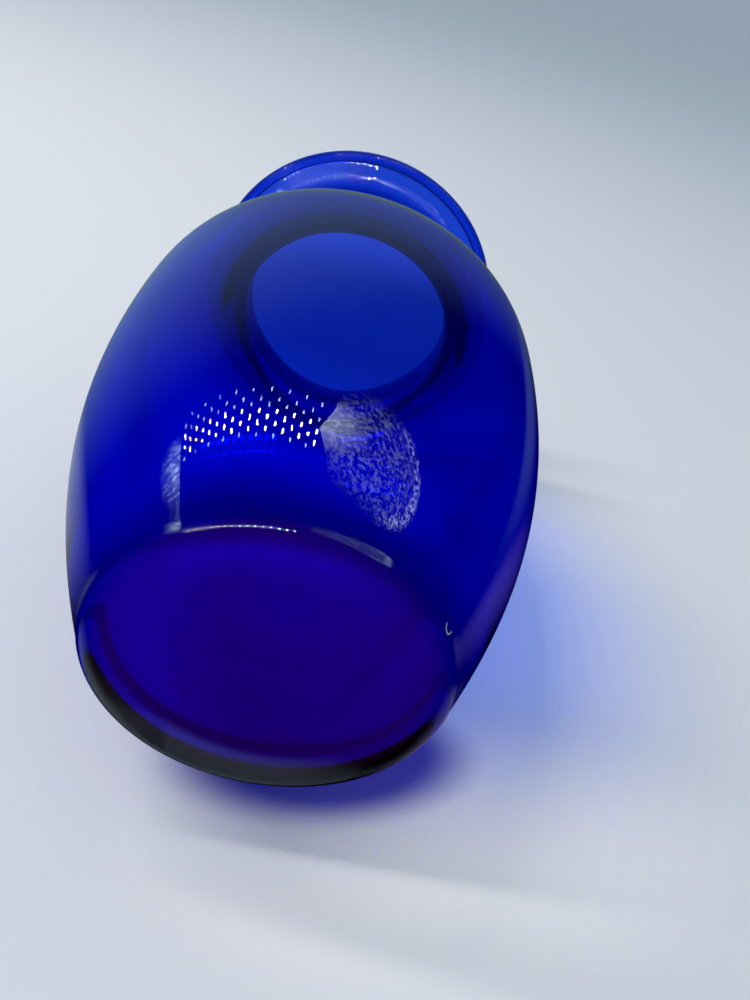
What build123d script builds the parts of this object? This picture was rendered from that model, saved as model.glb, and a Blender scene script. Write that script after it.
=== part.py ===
from build123d import *
import math
import os

# An ovoid blown glass bottle with a thick bottom, a short wide neck and a flared lip.
# Millimetres. It stands on the XY plane with its axis on +Z; (radius, height) pairs draw its profile.

# Outside of the glass
TOTAL_HEIGHT = 216.0
BELLY_RADIUS = 69.0           # the widest circle
BELLY_HEIGHT = 120.0
FOOT_RADIUS = 37.0            # outer edge of the flat ring that it rests on
HEEL_RADIUS = 42.9            # where the rounded heel runs into the side wall
HEEL_HEIGHT = 4.8
HEEL_LEAN = 27.5              # degrees from vertical, of the wall above the heel
LIP_RADIUS = 59.5             # outermost circle of the rounded rim
LIP_LEAN = 56.0               # degrees from vertical, of the lip where it meets the rim bead

# Inside of the glass
THROAT_RADIUS = 39.3          # the narrowest circle, a short straight stretch
THROAT_LOW = 178.0
THROAT_HIGH = 186.0
FLOOR_HEIGHT = 8.5            # inside bottom, above the table
FLOOR_FLAT_RADIUS = 24.0
FLOOR_CORNER_HEIGHT = 24.0    # where the rounded corner of the floor runs into the wall
CORNER_WALL = 4.8             # wall thickness there
BELLY_WALL = 3.2
THROAT_WALL = 6.8

# Underside: a shallow push-up inside the flat ring
PUSH_UP_RADIUS = 30.0
PUSH_UP_HEIGHT = 1.8

# Rim: a fire-polished bead, a little thicker than the lip that carries it
BEAD_RADIUS = 2.3
LIP_HALF_WALL = 1.65

# Heights where one stretch of glass meets the next, face to face
BASE_TOP = 16.0
LOWER_BODY_TOP = 66.0
BELLY_TOP = 130.0
UPPER_BODY_TOP = 162.0
SHOULDER_TOP = 176.0
NECK_TOP = 188.0

# Lengths of the tangent arms that set how full each curve is
HEEL_ARM = 44.0
LOWER_BELLY_ARM = 43.0
UPPER_BELLY_ARM = 30.0
SHOULDER_ARM = 22.5
LIP_ROOT_ARM = 18.0
LIP_TIP_ARM = 8.0
FLOOR_CORNER_ARM = 13.0
CORNER_ARM = 33.0
CORNER_LEAN = 22.5            # degrees from vertical, of the inner wall above the floor's corner

# The same for the short curves, as parts of the width or height that each one crosses
PUSH_UP_CROWN = 0.5
PUSH_UP_SKIRT = 0.25
HEEL_UNDERSIDE = 0.85
HEEL_SIDE = 0.55

MARGIN = 5.0                  # how far the cutting bands reach past the glass


def leaning(length, degrees_from_vertical):
    """A step of this length, leaning outwards from the axis."""
    angle = math.radians(degrees_from_vertical)
    return Vector(length * math.sin(angle), length * math.cos(angle))


def upright(length):
    return Vector(0, length)


def outward(length):
    return Vector(length, 0)


heel = Vector(HEEL_RADIUS, HEEL_HEIGHT)
belly = Vector(BELLY_RADIUS, BELLY_HEIGHT)
neck_radius = THROAT_RADIUS + THROAT_WALL
bead_centre = Vector(LIP_RADIUS - BEAD_RADIUS, TOTAL_HEIGHT - BEAD_RADIUS)

# The lip runs into the bead along a straight joint across the wall.
joint_depth = math.sqrt(BEAD_RADIUS**2 - LIP_HALF_WALL**2)
joint_middle = bead_centre - leaning(joint_depth, LIP_LEAN)
half_joint = leaning(LIP_HALF_WALL, LIP_LEAN + 90)
joint_outside = joint_middle + half_joint
joint_inside = joint_middle - half_joint


def outside_curves():
    """The outer surface, from the middle of the underside up to the rim bead."""
    push_up_top = Vector(0, PUSH_UP_HEIGHT)
    ring_inner = Vector(PUSH_UP_RADIUS, 0)
    foot = Vector(FOOT_RADIUS, 0)
    throat_low = Vector(neck_radius, THROAT_LOW)
    throat_high = Vector(neck_radius, THROAT_HIGH)
    heel_gap = HEEL_RADIUS - FOOT_RADIUS
    return [
        Bezier(push_up_top, push_up_top + outward(PUSH_UP_RADIUS * PUSH_UP_CROWN),
               ring_inner - outward(PUSH_UP_RADIUS * PUSH_UP_SKIRT), ring_inner),
        Line(ring_inner, foot),
        Bezier(foot, foot + outward(heel_gap * HEEL_UNDERSIDE),
               heel - leaning(HEEL_HEIGHT * HEEL_SIDE, HEEL_LEAN), heel),
        Bezier(heel, heel + leaning(HEEL_ARM, HEEL_LEAN),
               belly - upright(LOWER_BELLY_ARM), belly),
        Bezier(belly, belly + upright(UPPER_BELLY_ARM),
               throat_low - upright(SHOULDER_ARM), throat_low),
        Line(throat_low, throat_high),
        Bezier(throat_high, throat_high + upright(LIP_ROOT_ARM),
               joint_outside - leaning(LIP_TIP_ARM, LIP_LEAN), joint_outside),
    ]


def radius_at(curve, height):
    """The outer curve's distance from the axis at this height."""
    level = Line((0, height), (BELLY_RADIUS * 2, height))
    return curve.find_intersection_points(level)[0].X


def inside_curves(side_wall):
    """The inner surface, from the rim bead down to the middle of the floor."""
    corner_radius = radius_at(side_wall, FLOOR_CORNER_HEIGHT) - CORNER_WALL
    corner = Vector(corner_radius, FLOOR_CORNER_HEIGHT)
    floor_edge = Vector(FLOOR_FLAT_RADIUS, FLOOR_HEIGHT)
    floor_middle = Vector(0, FLOOR_HEIGHT)
    inner_belly = belly - outward(BELLY_WALL)
    throat_low = Vector(THROAT_RADIUS, THROAT_LOW)
    throat_high = Vector(THROAT_RADIUS, THROAT_HIGH)
    return [
        Bezier(joint_inside, joint_inside - leaning(LIP_TIP_ARM, LIP_LEAN),
               throat_high + upright(LIP_ROOT_ARM), throat_high),
        Line(throat_high, throat_low),
        Bezier(throat_low, throat_low - upright(SHOULDER_ARM),
               inner_belly + upright(UPPER_BELLY_ARM), inner_belly),
        Bezier(inner_belly, inner_belly - upright(LOWER_BELLY_ARM),
               corner + leaning(CORNER_ARM, CORNER_LEAN), corner),
        Bezier(corner, corner - leaning(FLOOR_CORNER_ARM, CORNER_LEAN),
               floor_edge + outward(FLOOR_CORNER_ARM), floor_edge),
        Line(floor_edge, floor_middle),
    ]


def glass_section():
    """Half of the cut through the glass, without the rim bead."""
    outside = outside_curves()
    inside = inside_curves(outside[3])
    joint = Line(joint_outside, joint_inside)
    axis = Line(Vector(0, FLOOR_HEIGHT), Vector(0, PUSH_UP_HEIGHT))
    return make_face(outside + [joint] + inside + [axis])


def band(low, high):
    """A strip of the half plane between two heights."""
    width = BELLY_RADIUS + MARGIN
    return Pos(width / 2, (low + high) / 2) * Rectangle(width, high - low)


def spin(half_section):
    return revolve(Plane.XZ * half_section, Axis.Z, 360)


def rim_bead():
    """A round bead all the way round the mouth, flat where it sits on the lip."""
    crest = bead_centre + leaning(BEAD_RADIUS, LIP_LEAN)
    arc = ThreePointArc(joint_outside, crest, joint_inside)
    return spin(make_face([arc, Line(joint_inside, joint_outside)]))


STRETCHES = {
    "base": (-MARGIN, BASE_TOP),
    "lower_body": (BASE_TOP, LOWER_BODY_TOP),
    "belly": (LOWER_BODY_TOP, BELLY_TOP),
    "upper_body": (BELLY_TOP, UPPER_BODY_TOP),
    "shoulder": (UPPER_BODY_TOP, SHOULDER_TOP),
    "neck": (SHOULDER_TOP, NECK_TOP),
    "flared_lip": (NECK_TOP, TOTAL_HEIGHT + MARGIN),
}

glass = glass_section()
nodes = {name: spin(glass & band(low, high)) for name, (low, high) in STRETCHES.items()}
nodes["rim_bead"] = rim_bead()

os.makedirs("parts", exist_ok=True)
for name, piece in nodes.items():
    export_step(piece, f"parts/{name}.step")
    print(name, round(piece.volume), "mm3")
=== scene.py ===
import math

import bpy
from mathutils import Matrix, Vector


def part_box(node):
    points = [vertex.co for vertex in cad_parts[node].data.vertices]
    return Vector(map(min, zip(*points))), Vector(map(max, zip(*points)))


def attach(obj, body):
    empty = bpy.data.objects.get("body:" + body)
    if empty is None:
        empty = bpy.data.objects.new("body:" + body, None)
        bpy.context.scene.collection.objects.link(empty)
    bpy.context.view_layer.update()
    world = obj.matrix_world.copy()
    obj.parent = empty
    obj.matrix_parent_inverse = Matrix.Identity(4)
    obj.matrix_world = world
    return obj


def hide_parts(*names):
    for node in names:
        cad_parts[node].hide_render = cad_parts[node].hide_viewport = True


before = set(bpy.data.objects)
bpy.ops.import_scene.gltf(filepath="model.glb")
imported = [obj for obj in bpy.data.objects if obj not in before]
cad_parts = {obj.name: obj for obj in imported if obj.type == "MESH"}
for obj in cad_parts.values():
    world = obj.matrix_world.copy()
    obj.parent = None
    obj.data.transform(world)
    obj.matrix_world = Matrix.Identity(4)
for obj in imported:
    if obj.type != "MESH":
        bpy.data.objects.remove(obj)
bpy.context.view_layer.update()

# A blown cobalt glass bottle that stands on its foot, with its axis on +Z. It is looked at as if it lay
# on its side with its base towards the viewer: the camera is low in front of it and looks up at its
# base, and the table is an upright sheet of paper just behind it. Metres.

MM = 0.001


# ---------------------------------------------------------------- sizes of the glass

def half_width(node):
    low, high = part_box(node)
    return (high.x - low.x) / 2


def top(node):
    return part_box(node)[1].z


# The outermost sizes come from the CAD nodes' boxes; the rest are the curves' own sizes.
TOTAL_HEIGHT = top("rim_bead")
BELLY_RADIUS = half_width("belly")
LIP_RADIUS = half_width("rim_bead")
BELLY_HEIGHT = 120.0 * MM
FOOT_RADIUS = 37.0 * MM
HEEL_RADIUS = 42.9 * MM
HEEL_HEIGHT = 4.8 * MM
HEEL_LEAN = 27.5              # degrees from vertical
LIP_LEAN = 56.0
THROAT_RADIUS = 39.3 * MM
THROAT_LOW = 178.0 * MM
THROAT_HIGH = 186.0 * MM
THROAT_WALL = 6.8 * MM
BELLY_WALL = 3.2 * MM
FLOOR_HEIGHT = 8.5 * MM
FLOOR_FLAT_RADIUS = 24.0 * MM
FLOOR_CORNER_HEIGHT = 24.0 * MM
FLOOR_CORNER_RADIUS = 47.13 * MM    # of the inner wall at that height
PUSH_UP_RADIUS = 30.0 * MM
PUSH_UP_HEIGHT = 1.8 * MM
BEAD_RADIUS = 2.3 * MM
LIP_HALF_WALL = 1.65 * MM

# Lengths of the tangent arms that set how full each curve is
HEEL_ARM = 44.0 * MM
LOWER_BELLY_ARM = 43.0 * MM
UPPER_BELLY_ARM = 30.0 * MM
SHOULDER_ARM = 22.5 * MM
LIP_ROOT_ARM = 18.0 * MM
LIP_TIP_ARM = 8.0 * MM
FLOOR_CORNER_ARM = 13.0 * MM
CORNER_ARM = 33.0 * MM
CORNER_LEAN = 22.5            # degrees from vertical, of the inner wall above the floor's corner

# The same for the short curves, as parts of the width or height that each one crosses
PUSH_UP_CROWN = 0.5
PUSH_UP_SKIRT = 0.25
HEEL_UNDERSIDE = 0.85
HEEL_SIDE = 0.55

ROUND_STEPS = 256             # vertices round each circle


# ---------------------------------------------------------------- looks of the glass

IOR = 1.5
COBALT = (0.0, 0.38, 0.957, 1)
COBALT_DENSITY = 1150.0       # per metre of glass
VIOLET = (1.0, 0.0, 1.0, 1)
VIOLET_HAZE = 0.026           # how much of the underside scatters light instead of passing it
VIOLET_MIDDLE = (0, -4.0 * MM, 0)
VIOLET_EDGE = (34.0 * MM, 40.0 * MM)    # even inside the first radius, gone outside the second
VIOLET_TOP = (3.0 * MM, 6.5 * MM)       # and the same for heights
FULL_TINT = 0.15              # how hazed the glass is where its tint is full
BRUISE = (34.7 * MM, -24.5 * MM, 3.2 * MM)
BRUISE_RADIUS = 1.3 * MM
BRUISE_WIDTH = 0.28 * MM
BRUISE_CORE = 0.3             # the part of its width where it is full
BRUISE_OPENING = 0.4          # the part of its radius over which its open side fades
BRUISE_GLINT = 0.45           # how much light a bruise or a speck scatters
SPECK_GLINT = 0.5
SPECKS_PER_METRE = 45.0       # specks and seeds, each way
SPECK_SIZE = 0.016            # of the distance between them
WAVE_HEIGHT = 0.05 * MM       # the slow waviness of hand-blown glass
WAVES_PER_METRE = 28.0


# ---------------------------------------------------------------- paper, light and light box

FAR = 20.0                    # half the width of the sheets of paper
FLOOR_Z = -0.2 * MM
PAPER_Y = BELLY_RADIUS + 0.5 * MM
PAPER_COLOUR = (0.8, 0.8, 0.8, 1)

ROOM_LIGHT = 0.54
ROOM_COLOUR = (0.66, 0.83, 1.0, 1)
CEILING = (-0.29, -0.10, 0.95)    # the way to the brightest part of what the glass mirrors
CEILING_FADE = (0.62, 0.98)       # where it starts to show, and where it is full
CEILING_COLOUR = (0.19, 0.30, 0.42, 1)

# The light that casts the shadow is a panel of small lamps, so that the glass repeats it as dots.
KEY_MIDDLE = Vector((-0.88, -1.24, 0.14))
KEY_AIM = Vector((0.0, BELLY_RADIUS, 0.09))
KEY_POWER = 15.0              # watts, all the lamps together
KEY_COLOUR = (1.0, 0.95, 0.94)
KEY_ROWS = 2
KEY_COLUMNS = 10
KEY_WIDE = 0.85
KEY_TALL = 0.30
KEY_LAMP = (0.045, 0.090)

# Rows of small lamps under the lid, as (height, shift along the row in lamps), and one row low down
BAR_NEAR = (-0.013, -0.450, 0.096)
BAR_FAR = (-0.400, -0.300, 0.131)
BAR_COLUMNS = 9
BAR_LAMP = (2.8 * MM, 4.0 * MM)
BAR_ROWS = [(-0.014, 0.0), (-0.005, 0.5), (0.004, 0.0), (0.014, 0.5)]
FAINT_ROWS = [(-0.023, 0.5), (0.024, 0.0), (0.034, 0.5), (0.050, 0.0)]
LOW_NEAR = (-0.013, -0.400, -0.029)
LOW_FAR = (-0.400, -0.280, -0.022)
LOW_COLUMNS = 17
LOW_LAMP = (3.0 * MM, 12.0 * MM)
LAMP_CORNERS = 10
LAMP_COLOUR = (0.85, 0.92, 1.0, 1)
FAINT_COLOUR = (0.40, 0.70, 1.0, 1)
LAMP_GLOW = 350.0
LOW_GLOW = 130.0
FAINT_GLOW = 18.0

# Glowing cards, seen only in the glass's reflections, that stand in for the lit hammered foil on the lid and
# on the side of the light box: the light on the foil is painted into their glow
LID_Y = -0.450
LID_OUTLINE = [(0.026, 0.140), (-0.007, 0.107), (0.041, 0.059), (0.060, 0.010), (0.560, 0.010),
               (0.560, 0.220), (0.060, 0.220)]
LID_MIDDLE = (0.24, LID_Y, 0.112)
LID_REACH = (0.31, 1.0, 0.100)
LID_SPOT = (-0.01, LID_Y, 0.120)
LID_SPOT_REACH = (0.19, 1.0, 0.050)
LID_DIM = 0.50                # strengths of its middle, its far edge and its bright spot
LID_EDGE = 1.5
LID_BRIGHT = 6.0
LID_GRAIN = (75.0, 1.0, 230.0)    # per metre
LID_COLOUR = (0.80, 0.90, 1.0, 1)
FOIL_CONTRAST = (0.46, 0.64)  # the range of the noise that its glitter is made from
SIDE_X = -0.400
SIDE_OUTLINE = [(-0.257, 0.025), (-0.257, 0.150), (-0.160, 0.150), (-0.160, 0.025)]
SIDE_SPOT = (SIDE_X, -0.262, 0.088)
SIDE_REACH = (1.0, 0.095, 0.062)
SIDE_BRIGHT = 4.6
SIDE_GRAIN = (1.0, 40.0, 240.0)
SIDE_COLOUR = (0.70, 0.95, 1.0, 1)

# Layers of the patches that stand just in front of the paper
GLOW_Y = PAPER_Y - 0.10 * MM
PAINTED_LIGHT_Y = PAPER_Y - 0.15 * MM
SHADOW_Y = PAPER_Y - 0.20 * MM
MIRRORED_Y = BELLY_RADIUS + 0.2 * MM
PANEL_Y = BELLY_RADIUS
MOUTH_Y = BELLY_RADIUS - 0.2 * MM

CAMERA_PLACE = Vector((0, -0.1371, -0.1100))
CAMERA_AIM = Vector((0.0199, 0, 0.0731))
CAMERA_ROLL = 6.04            # degrees
CAMERA_LENS = 28.08           # millimetres
SENSOR = 36


# ---------------------------------------------------------------- profile

def leaning(length, degrees_from_vertical):
    angle = math.radians(degrees_from_vertical)
    return Vector((length * math.sin(angle), length * math.cos(angle)))


def upright(length):
    return Vector((0, length))


def outward(length):
    return Vector((length, 0))


def straight(start, end, steps):
    """Points on a line, without its end."""
    return [start.lerp(end, i / steps) for i in range(steps)]


def bezier(start, arm_1, arm_2, end, steps):
    """Points on a cubic curve, without its end."""
    points = []
    for i in range(steps):
        t = i / steps
        u = 1 - t
        points.append(u**3 * start + 3 * u * u * t * arm_1 + 3 * u * t * t * arm_2 + t**3 * end)
    return points


def bead_arc(centre, start, end, steps):
    """The round edge of the bead, the long way from start to end, without its end."""
    first = math.atan2(start.y - centre.y, start.x - centre.x)
    last = math.atan2(end.y - centre.y, end.x - centre.x)
    turn = (last - first) % (2 * math.pi)
    angles = [first + turn * i / steps for i in range(steps)]
    return [centre + BEAD_RADIUS * Vector((math.cos(a), math.sin(a))) for a in angles]


def lip_joints():
    """The rim bead's centre, and the places where the lip's outer and inner sides run into it."""
    centre = Vector((LIP_RADIUS - BEAD_RADIUS, TOTAL_HEIGHT - BEAD_RADIUS))
    depth = math.sqrt(BEAD_RADIUS**2 - LIP_HALF_WALL**2)
    middle = centre - leaning(depth, LIP_LEAN)
    half_joint = leaning(LIP_HALF_WALL, LIP_LEAN + 90)
    return centre, middle + half_joint, middle - half_joint


def outside_points(joint):
    """From the middle of the underside up to the rim bead."""
    push_up_top = Vector((0, PUSH_UP_HEIGHT))
    ring_inner = Vector((PUSH_UP_RADIUS, 0))
    foot = Vector((FOOT_RADIUS, 0))
    heel = Vector((HEEL_RADIUS, HEEL_HEIGHT))
    heel_gap = HEEL_RADIUS - FOOT_RADIUS
    belly = Vector((BELLY_RADIUS, BELLY_HEIGHT))
    low = Vector((THROAT_RADIUS + THROAT_WALL, THROAT_LOW))
    high = Vector((THROAT_RADIUS + THROAT_WALL, THROAT_HIGH))
    return (
        bezier(push_up_top, push_up_top + outward(PUSH_UP_RADIUS * PUSH_UP_CROWN),
               ring_inner - outward(PUSH_UP_RADIUS * PUSH_UP_SKIRT), ring_inner, 16)
        + straight(ring_inner, foot, 3)
        + bezier(foot, foot + outward(heel_gap * HEEL_UNDERSIDE),
                 heel - leaning(HEEL_HEIGHT * HEEL_SIDE, HEEL_LEAN), heel, 16)
        + bezier(heel, heel + leaning(HEEL_ARM, HEEL_LEAN), belly - upright(LOWER_BELLY_ARM), belly, 40)
        + bezier(belly, belly + upright(UPPER_BELLY_ARM), low - upright(SHOULDER_ARM), low, 36)
        + straight(low, high, 4)
        + bezier(high, high + upright(LIP_ROOT_ARM), joint - leaning(LIP_TIP_ARM, LIP_LEAN), joint, 20)
    )


def inside_points(joint):
    """From the rim bead down to the middle of the floor, with its end."""
    belly = Vector((BELLY_RADIUS - BELLY_WALL, BELLY_HEIGHT))
    low = Vector((THROAT_RADIUS, THROAT_LOW))
    high = Vector((THROAT_RADIUS, THROAT_HIGH))
    corner = Vector((FLOOR_CORNER_RADIUS, FLOOR_CORNER_HEIGHT))
    floor_edge = Vector((FLOOR_FLAT_RADIUS, FLOOR_HEIGHT))
    floor_middle = Vector((0, FLOOR_HEIGHT))
    return (
        bezier(joint, joint - leaning(LIP_TIP_ARM, LIP_LEAN), high + upright(LIP_ROOT_ARM), high, 20)
        + straight(high, low, 4)
        + bezier(low, low - upright(SHOULDER_ARM), belly + upright(UPPER_BELLY_ARM), belly, 36)
        + bezier(belly, belly - upright(LOWER_BELLY_ARM),
                 corner + leaning(CORNER_ARM, CORNER_LEAN), corner, 40)
        + bezier(corner, corner - leaning(FLOOR_CORNER_ARM, CORNER_LEAN),
                 floor_edge + outward(FLOOR_CORNER_ARM), floor_edge, 18)
        + straight(floor_edge, floor_middle, 8)
        + [floor_middle]
    )


def glass_profile():
    """The outline of the cut glass, as (radius, height) points: up the outside and down the inside."""
    bead_centre, outer_joint, inner_joint = lip_joints()
    over_the_rim = bead_arc(bead_centre, outer_joint, inner_joint, 18)
    return outside_points(outer_joint) + over_the_rim + inside_points(inner_joint)


# ---------------------------------------------------------------- meshes

def new_object(name, vertices, faces, material):
    mesh = bpy.data.meshes.new(name)
    mesh.from_pydata(vertices, [], faces)
    mesh.materials.append(material)
    mesh.update()
    made = bpy.data.objects.new(name, mesh)
    bpy.context.collection.objects.link(made)
    return made


def lathe(name, profile, material):
    """A closed surface of revolution from a profile that starts and ends on the axis."""
    vertices = [(0, 0, profile[0].y)]
    for radius, height in profile[1:-1]:
        for i in range(ROUND_STEPS):
            angle = 2 * math.pi * i / ROUND_STEPS
            vertices.append((radius * math.cos(angle), radius * math.sin(angle), height))
    vertices.append((0, 0, profile[-1].y))
    rings = len(profile) - 2
    faces = []
    for i in range(ROUND_STEPS):
        j = (i + 1) % ROUND_STEPS
        faces.append((0, 1 + j, 1 + i))
        for ring in range(rings - 1):
            low = 1 + ring * ROUND_STEPS
            high = low + ROUND_STEPS
            faces.append((low + i, low + j, high + j, high + i))
        last = 1 + (rings - 1) * ROUND_STEPS
        faces.append((last + i, last + j, len(vertices) - 1))
    made = new_object(name, vertices, faces, material)
    made.data.shade_smooth()
    return made


def seen_only_by(sheet, *rays):
    """Hides a sheet or a lamp from every kind of ray but the ones given."""
    sheet.visible_camera = "camera" in rays
    sheet.visible_glossy = "glossy" in rays
    sheet.visible_transmission = "transmission" in rays
    sheet.visible_diffuse = False
    sheet.visible_shadow = False


# ---------------------------------------------------------------- shader helpers

def new_material(name):
    material = bpy.data.materials.new(name)
    material.use_nodes = True
    tree = material.node_tree
    tree.nodes.clear()
    output = tree.nodes.new("ShaderNodeOutputMaterial")
    return material, tree, output


def object_place(tree):
    return tree.nodes.new("ShaderNodeTexCoord").outputs["Object"]


def axis_of(tree, place, axis):
    split = tree.nodes.new("ShaderNodeSeparateXYZ")
    tree.links.new(place, split.inputs["Vector"])
    return split.outputs[axis]


def ramp(tree, source, between, values):
    """A smooth step from the first value to the second as the source crosses the range."""
    made = tree.nodes.new("ShaderNodeMapRange")
    made.interpolation_type = "SMOOTHSTEP"
    made.inputs["From Min"].default_value = between[0]
    made.inputs["From Max"].default_value = between[1]
    made.inputs["To Min"].default_value = values[0]
    made.inputs["To Max"].default_value = values[1]
    tree.links.new(source, made.inputs["Value"])
    return made.outputs["Result"]


def arithmetic(tree, operation, first, second=0.0):
    made = tree.nodes.new("ShaderNodeMath")
    made.operation = operation
    for socket, value in zip(made.inputs, (first, second)):
        if isinstance(value, float):
            socket.default_value = value
        else:
            tree.links.new(value, socket)
    return made.outputs["Value"]


def vector_step(tree, operation, place, by, output="Vector"):
    made = tree.nodes.new("ShaderNodeVectorMath")
    made.operation = operation
    made.inputs[1].default_value = by
    tree.links.new(place, made.inputs[0])
    return made.outputs[output]


def noise(tree, place, scale, detail):
    made = tree.nodes.new("ShaderNodeTexNoise")
    made.inputs["Scale"].default_value = scale
    made.inputs["Detail"].default_value = detail
    tree.links.new(place, made.inputs["Vector"])
    return made.outputs["Fac"]


def blend_from_white(tree, share, colour):
    """White where the share is 0, and this colour where it is 1."""
    tint = tree.nodes.new("ShaderNodeMix")
    tint.data_type = "RGBA"
    tint.inputs["A"].default_value = (1.0, 1.0, 1.0, 1)
    tint.inputs["B"].default_value = colour
    tree.links.new(share, tint.inputs["Factor"])
    return tint.outputs["Result"]


def off_centre(tree, place, middle, reach):
    """How far a place is from the middle, as a part of the reach each way."""
    moved = vector_step(tree, "SUBTRACT", place, middle)
    scaled = vector_step(tree, "DIVIDE", moved, reach)
    return vector_step(tree, "LENGTH", scaled, (0, 0, 0), "Value")


# ---------------------------------------------------------------- glass

def underside_share(tree, place):
    """1 on the underside, fading to 0 round its edge and up the heel."""
    low_down = ramp(tree, axis_of(tree, place, "Z"), VIOLET_TOP, (1.0, 0.0))
    to_middle = vector_step(tree, "DISTANCE", place, VIOLET_MIDDLE, "Value")
    return arithmetic(tree, "MULTIPLY", low_down, ramp(tree, to_middle, VIOLET_EDGE, (1.0, 0.0)))


def specks(tree, place):
    """A fine speck or seed in each cell of an uneven grid."""
    cells = tree.nodes.new("ShaderNodeTexVoronoi")
    cells.inputs["Scale"].default_value = SPECKS_PER_METRE
    tree.links.new(place, cells.inputs["Vector"])
    return ramp(tree, cells.outputs["Distance"], (SPECK_SIZE / 2, SPECK_SIZE), (SPECK_GLINT, 0.0))


def bruise(tree, place):
    """A small crescent near the edge of the base: the lower half of a thin ring."""
    to_middle = vector_step(tree, "DISTANCE", place, BRUISE, "Value")
    off_ring = arithmetic(tree, "ABSOLUTE", arithmetic(tree, "SUBTRACT", to_middle, BRUISE_RADIUS))
    ring = ramp(tree, off_ring, (BRUISE_WIDTH * BRUISE_CORE, BRUISE_WIDTH), (BRUISE_GLINT, 0.0))
    open_side = (BRUISE[2], BRUISE[2] + BRUISE_RADIUS * BRUISE_OPENING)
    return arithmetic(tree, "MULTIPLY", ring, ramp(tree, axis_of(tree, place, "Z"), open_side, (1.0, 0.0)))


def cobalt_glass():
    """Clear cobalt glass. Its colour comes from the depth of glass that the light crosses. The underside is
    faintly hazed violet, and fine specks, seeds and a small bruise catch the light."""
    material, tree, output = new_material("cobalt_glass")
    place = object_place(tree)
    hazed = underside_share(tree, place)
    scattered = arithmetic(tree, "MULTIPLY", hazed, VIOLET_HAZE)
    scattered = arithmetic(tree, "MAXIMUM", scattered, specks(tree, place))
    scattered = arithmetic(tree, "MAXIMUM", scattered, bruise(tree, place))
    tinted = ramp(tree, hazed, (0.0, FULL_TINT), (0.0, 1.0))

    waves = tree.nodes.new("ShaderNodeBump")
    waves.inputs["Strength"].default_value = 1.0
    waves.inputs["Distance"].default_value = WAVE_HEIGHT
    tree.links.new(noise(tree, place, WAVES_PER_METRE, 1.0), waves.inputs["Height"])

    shader = tree.nodes.new("ShaderNodeBsdfPrincipled")
    shader.inputs["Roughness"].default_value = 0.0
    shader.inputs["IOR"].default_value = IOR
    tree.links.new(blend_from_white(tree, tinted, VIOLET), shader.inputs["Base Color"])
    tree.links.new(arithmetic(tree, "SUBTRACT", 1.0, scattered), shader.inputs["Transmission Weight"])
    tree.links.new(waves.outputs["Normal"], shader.inputs["Normal"])
    tree.links.new(shader.outputs["BSDF"], output.inputs["Surface"])

    depth = tree.nodes.new("ShaderNodeVolumeAbsorption")
    depth.inputs["Color"].default_value = COBALT
    depth.inputs["Density"].default_value = COBALT_DENSITY
    tree.links.new(depth.outputs["Volume"], output.inputs["Volume"])
    return material


# ---------------------------------------------------------------- paper and room

def one_sided_paper():
    """Matt paper that is seen only from its front, so that no sheet hides the object."""
    material, tree, output = new_material("pale_paper")
    paper = tree.nodes.new("ShaderNodeBsdfDiffuse")
    paper.inputs["Color"].default_value = PAPER_COLOUR
    clear = tree.nodes.new("ShaderNodeBsdfTransparent")
    side = tree.nodes.new("ShaderNodeNewGeometry")
    mix = tree.nodes.new("ShaderNodeMixShader")
    tree.links.new(side.outputs["Backfacing"], mix.inputs["Fac"])
    tree.links.new(paper.outputs["BSDF"], mix.inputs[1])
    tree.links.new(clear.outputs["BSDF"], mix.inputs[2])
    tree.links.new(mix.outputs["Shader"], output.inputs["Surface"])
    return material


def paper_sheets():
    """The floor under the foot, the upright sheet behind it, and a high one that closes the far corner."""
    sheets = {
        "pale_floor": [(-FAR, -FAR, FLOOR_Z), (FAR, -FAR, FLOOR_Z), (FAR, FAR, FLOOR_Z),
                       (-FAR, FAR, FLOOR_Z)],
        "pale_backdrop": [(-FAR, PAPER_Y, -FAR), (FAR, PAPER_Y, -FAR), (FAR, PAPER_Y, FAR),
                          (-FAR, PAPER_Y, FAR)],
        "far_paper": [(-FAR, -FAR, FAR / 2), (-FAR, PAPER_Y, FAR / 2), (FAR, PAPER_Y, FAR / 2),
                      (FAR, -FAR, FAR / 2)],
    }
    paper = one_sided_paper()
    for name, corners in sheets.items():
        sheet = new_object(name, corners, [(0, 1, 2, 3)], paper)
        seen_only_by(sheet, "camera", "transmission")


def room():
    """Even pale light from all round. What the glass mirrors is darker: a room lit from above."""
    made = bpy.data.worlds.new("room")
    made.use_nodes = True
    tree = made.node_tree
    even = tree.nodes["Background"]
    even.inputs["Color"].default_value = ROOM_COLOUR
    even.inputs["Strength"].default_value = ROOM_LIGHT
    way = tree.nodes.new("ShaderNodeTexCoord").outputs["Generated"]
    upward = vector_step(tree, "DOT_PRODUCT", way, CEILING, "Value")
    ceiling = tree.nodes.new("ShaderNodeBackground")
    ceiling.inputs["Color"].default_value = CEILING_COLOUR
    tree.links.new(ramp(tree, upward, CEILING_FADE, (0.0, 1.0)), ceiling.inputs["Strength"])
    path = tree.nodes.new("ShaderNodeLightPath")
    mirrored = arithmetic(tree, "MULTIPLY", path.outputs["Is Glossy Ray"], path.outputs["Is Reflection Ray"])
    mix = tree.nodes.new("ShaderNodeMixShader")
    tree.links.new(mirrored, mix.inputs["Fac"])
    tree.links.new(even.outputs["Background"], mix.inputs[1])
    tree.links.new(ceiling.outputs["Background"], mix.inputs[2])
    tree.links.new(mix.outputs["Shader"], tree.nodes["World Output"].inputs["Surface"])
    bpy.context.scene.world = made


# ---------------------------------------------------------------- lamps, and glowing cards for the foil of the light box

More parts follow.
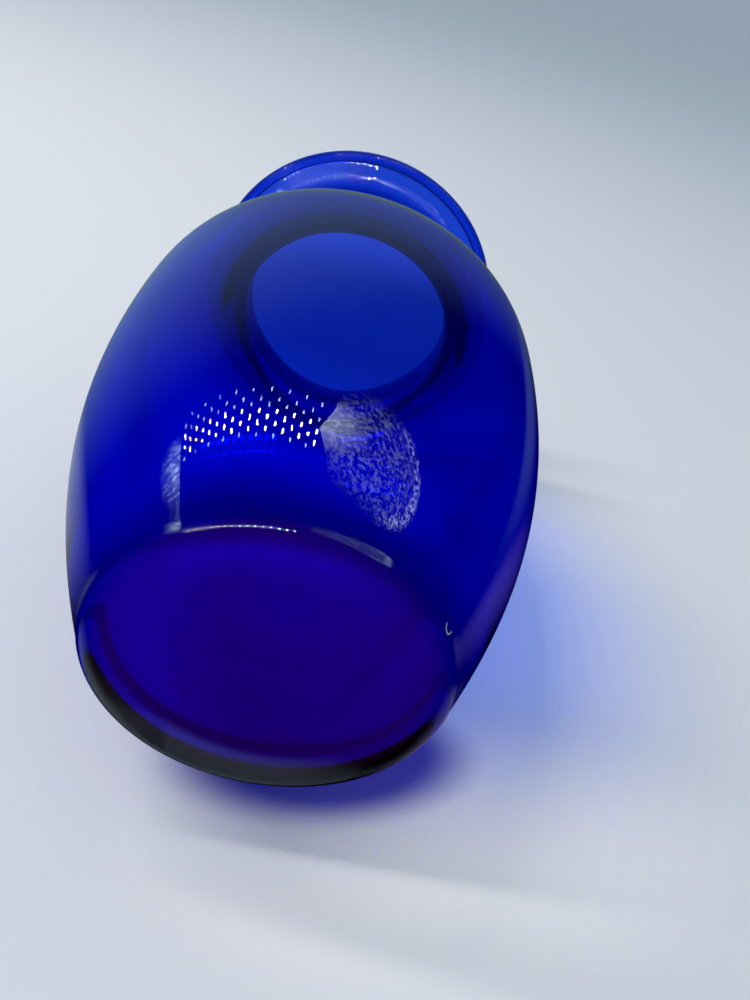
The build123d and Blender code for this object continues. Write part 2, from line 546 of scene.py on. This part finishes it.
def key_lamp(name, place, turn):
    data = bpy.data.lights.new(name, "AREA")
    data.shape = "RECTANGLE"
    data.size, data.size_y = KEY_LAMP
    data.energy = KEY_POWER / (KEY_ROWS * KEY_COLUMNS)
    data.color = KEY_COLOUR
    lamp = bpy.data.objects.new(name, data)
    lamp.location = place
    lamp.rotation_mode = "QUATERNION"
    lamp.rotation_quaternion = turn
    lamp.visible_glossy = False
    bpy.context.collection.objects.link(lamp)


def key_rows():
    turn = (KEY_AIM - KEY_MIDDLE).to_track_quat("-Z", "Y")
    for row in range(KEY_ROWS):
        up = (row / (KEY_ROWS - 1) - 0.5) * KEY_TALL
        for column in range(KEY_COLUMNS):
            along = (column / (KEY_COLUMNS - 1) - 0.5) * KEY_WIDE
            key_lamp("key_%d_%d" % (row, column), KEY_MIDDLE + turn @ Vector((along, up, 0)), turn)


def glowing(name, colour, strength):
    material, tree, output = new_material(name)
    glow = tree.nodes.new("ShaderNodeEmission")
    glow.inputs["Color"].default_value = colour
    glow.inputs["Strength"].default_value = strength
    tree.links.new(glow.outputs["Emission"], output.inputs["Surface"])
    return material


def glowing_by(name, colour, strength_of):
    """A clear lit sheet whose strength varies over it; strength_of makes that strength from a place."""
    material, tree, output = new_material(name)
    glow = tree.nodes.new("ShaderNodeEmission")
    glow.inputs["Color"].default_value = colour
    tree.links.new(strength_of(tree, object_place(tree)), glow.inputs["Strength"])
    clear = tree.nodes.new("ShaderNodeBsdfTransparent")
    both = tree.nodes.new("ShaderNodeAddShader")
    tree.links.new(glow.outputs["Emission"], both.inputs[0])
    tree.links.new(clear.outputs["BSDF"], both.inputs[1])
    tree.links.new(both.outputs["Shader"], output.inputs["Surface"])
    return material


def lamp_rows(name, near, far, columns, rows, size, material):
    """Rows of small oval lamps, mirrored in the glass."""
    wide, tall = size
    near, far = Vector(near), Vector(far)
    step = (far - near) / (columns - 1)
    vertices, faces = [], []
    for height, shift in rows:
        for column in range(columns):
            centre = near + step * (column + shift) + Vector((0, 0, height))
            first = len(vertices)
            for i in range(LAMP_CORNERS):
                angle = 2 * math.pi * i / LAMP_CORNERS
                vertices.append(centre + Vector((wide * math.cos(angle), 0, tall * math.sin(angle))))
            faces.append(tuple(range(first, len(vertices))))
    seen_only_by(new_object(name, vertices, faces, material), "glossy")


def lamps():
    lit = glowing("lamps", LAMP_COLOUR, LAMP_GLOW)
    low = glowing("heel_lamps", LAMP_COLOUR, LOW_GLOW)
    faint = glowing("faint_lamps", FAINT_COLOUR, FAINT_GLOW)
    lamp_rows("led_bar", BAR_NEAR, BAR_FAR, BAR_COLUMNS, BAR_ROWS, BAR_LAMP, lit)
    lamp_rows("led_glow", BAR_NEAR, BAR_FAR, BAR_COLUMNS, FAINT_ROWS, BAR_LAMP, faint)
    lamp_rows("low_lamps", LOW_NEAR, LOW_FAR, LOW_COLUMNS, [(0.0, 0.0)], LOW_LAMP, low)


def grain(tree, place, per_metre, values):
    """The fine broken glitter of hammered foil, painted into the glow."""
    scaled = vector_step(tree, "MULTIPLY", place, per_metre)
    return ramp(tree, noise(tree, scaled, 1.0, 3.0), FOIL_CONTRAST, values)


def lid_strength(tree, place):
    """Brightest at its inner edge, dim across the middle, with a brighter curved far edge."""
    whole = off_centre(tree, place, LID_MIDDLE, LID_REACH)
    middle = ramp(tree, whole, (0.55, 1.0), (LID_DIM, 0.0))
    rise = ramp(tree, whole, (0.62, 0.80), (0.0, LID_EDGE))
    edge = arithmetic(tree, "MULTIPLY", rise, ramp(tree, whole, (0.82, 1.0), (1.0, 0.0)))
    far_side = ramp(tree, axis_of(tree, place, "X"), (0.25, 0.42), (0.0, 1.0))
    dim = arithmetic(tree, "ADD", middle, arithmetic(tree, "MULTIPLY", edge, far_side))
    dim = arithmetic(tree, "MULTIPLY", dim, grain(tree, place, LID_GRAIN, (0.02, 4.0)))
    spot = ramp(tree, off_centre(tree, place, LID_SPOT, LID_SPOT_REACH), (0.10, 1.0), (LID_BRIGHT, 0.0))
    spot = arithmetic(tree, "MULTIPLY", spot, grain(tree, place, LID_GRAIN, (0.75, 1.25)))
    return arithmetic(tree, "ADD", dim, spot)


def side_strength(tree, place):
    """Brightest at its inner edge, fading outward."""
    spot = ramp(tree, off_centre(tree, place, SIDE_SPOT, SIDE_REACH), (0.2, 1.0), (SIDE_BRIGHT, 0.0))
    return arithmetic(tree, "MULTIPLY", spot, grain(tree, place, SIDE_GRAIN, (0.30, 1.7)))


def foil():
    cards = {
        "lid_foil": ([(x, LID_Y, z) for x, z in LID_OUTLINE], LID_COLOUR, lid_strength),
        "side_foil": ([(SIDE_X, y, z) for y, z in SIDE_OUTLINE], SIDE_COLOUR, side_strength),
    }
    for name, (corners, colour, strength_of) in cards.items():
        card = new_object(name, corners, [tuple(range(len(corners)))], glowing_by(name, colour, strength_of))
        seen_only_by(card, "glossy")


# ---------------------------------------------------------------- patches in front of the paper

def fading(tree, place, reach, even):
    """1 over the even middle of a patch, fading to 0 at its edge, and 0 on its back."""
    wide, tall = reach
    share = ramp(tree, off_centre(tree, place, (0, 0, 0), (wide, 1.0, tall)), (even, 1.0), (1.0, 0.0))
    back = tree.nodes.new("ShaderNodeNewGeometry").outputs["Backfacing"]
    return arithmetic(tree, "MULTIPLY", share, arithmetic(tree, "SUBTRACT", 1.0, back))


def patch(name, ray, middle, reach, tilt, material):
    """An upright sheet, tilted in its own plane, that only one kind of ray sees."""
    wide, tall = reach
    corners = [(-wide, 0, -tall), (wide, 0, -tall), (wide, 0, tall), (-wide, 0, tall)]
    made = new_object(name, corners, [(0, 1, 2, 3)], material)
    made.location = middle
    made.rotation_euler = (0, math.radians(tilt), 0)
    seen_only_by(made, ray)


def lit(name, ray, middle, reach, even, colour, strength, tilt=0.0):
    """A soft patch of light."""
    def strength_of(tree, place):
        return arithmetic(tree, "MULTIPLY", fading(tree, place, reach, even), strength)
    patch(name, ray, middle, reach, tilt, glowing_by(name, colour, strength_of))


def shaded(name, ray, middle, reach, even, colour, tilt=0.0):
    """A soft patch of shadow, which dims what is behind it to this colour."""
    material, tree, output = new_material(name)
    share = fading(tree, object_place(tree), reach, even)
    clear = tree.nodes.new("ShaderNodeBsdfTransparent")
    tree.links.new(blend_from_white(tree, share, colour), clear.inputs["Color"])
    tree.links.new(clear.outputs["BSDF"], output.inputs["Surface"])
    patch(name, ray, middle, reach, tilt, material)


def through_the_glass():
    """The lit paper behind the body, and the darker place that the mouth looks at."""
    lit("light_panel", "transmission", (0.0, PANEL_Y, 0.165), (0.100, 0.100), 0.0, (0.92, 0.96, 1.0, 1), 0.42)
    shaded("mouth_shade", "transmission", (0.03, MOUTH_Y, 0.34), (0.25, 0.16), 0.3, (0.58, 0.58, 0.58, 1))


def mirrored_in_the_glass():
    """Glowing patches, seen only by glossy rays, that stand in for the pale and blue-tinted paper round the
    heel and the body: painted reflections that the glass shows at its edges.
    """
    lit("heel_reflection_strip", "glossy", (-0.035, MIRRORED_Y, -0.018), (0.100, 0.023), 0.5, (0.80, 1.0, 1.35, 1), 0.29)
    lit("heel_reflection_left", "glossy", (-0.080, MIRRORED_Y, -0.022), (0.055, 0.034), 0.3, (0.90, 1.0, 1.2, 1), 0.34)
    lit("heel_reflection_right", "glossy", (0.095, MIRRORED_Y, 0.000), (0.060, 0.065), 0.4, (1.0, 0.85, 1.9, 1), 0.26)
    lit("mirrored_glow", "glossy", (0.215, MIRRORED_Y, 0.115), (0.120, 0.100), 0.0,
        (0.45, 0.30, 1.0, 1), 0.28)
    lit("mirrored_left", "glossy", (-0.125, MIRRORED_Y, 0.125), (0.120, 0.080), 0.2,
        (0.80, 0.92, 1.0, 1), 0.34)
    lit("mirrored_right", "glossy", (0.300, MIRRORED_Y, 0.400), (0.160, 0.280), 0.2,
        (0.55, 0.85, 1.0, 1), 0.10)


def painted_on_the_paper():
    """Painted light and shade on the paper, seen only by the camera: a blue glow for light through the glass,
    a lighter patch beside it, and the heel's shadow.
    """
    lit("blue_glow", "camera", (0.055, GLOW_Y, 0.127), (0.115, 0.133), 0.28, (0.0, 0.1, 1.0, 1), 0.31, -60.0)
    # A painted patch of light that brightens the paper below and beside the glow
    lit("painted_paper_light", "camera", (0.070, PAINTED_LIGHT_Y, 0.010), (0.117, 0.053), 0.0,
        (1.0, 0.92, 0.75, 1), 0.26, -15.0)
    shaded("heel_shadow", "camera", (0.023, SHADOW_Y, 0.033), (0.055, 0.026), 0.55,
           (0.10, 0.09, 0.48, 1), -13.0)


# ---------------------------------------------------------------- camera

def camera():
    data = bpy.data.cameras.new("camera")
    data.lens = CAMERA_LENS
    data.sensor_width = SENSOR
    data.clip_start = 10 * MM
    made = bpy.data.objects.new("camera", data)
    turn = (CAMERA_AIM - CAMERA_PLACE).to_track_quat("-Z", "Y").to_matrix().to_4x4()
    roll = Matrix.Rotation(math.radians(CAMERA_ROLL), 4, "Z")
    made.matrix_world = Matrix.Translation(CAMERA_PLACE) @ turn @ roll
    bpy.context.collection.objects.link(made)
    bpy.context.scene.camera = made


# ---------------------------------------------------------------- scene

scene = bpy.context.scene
scene.view_settings.view_transform = "Standard"
scene.cycles.max_bounces = 24
scene.cycles.transmission_bounces = 24
scene.cycles.transparent_max_bounces = 16
scene.cycles.blur_glossy = 0.0

# One closed vessel stands in for every CAD node: seams between them would show in clear glass.
vessel = lathe("cobalt_vessel", glass_profile(), cobalt_glass())
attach(vessel, "root")
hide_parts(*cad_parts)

paper_sheets()
room()
key_rows()
lamps()
foil()
through_the_glass()
mirrored_in_the_glass()
painted_on_the_paper()
camera()
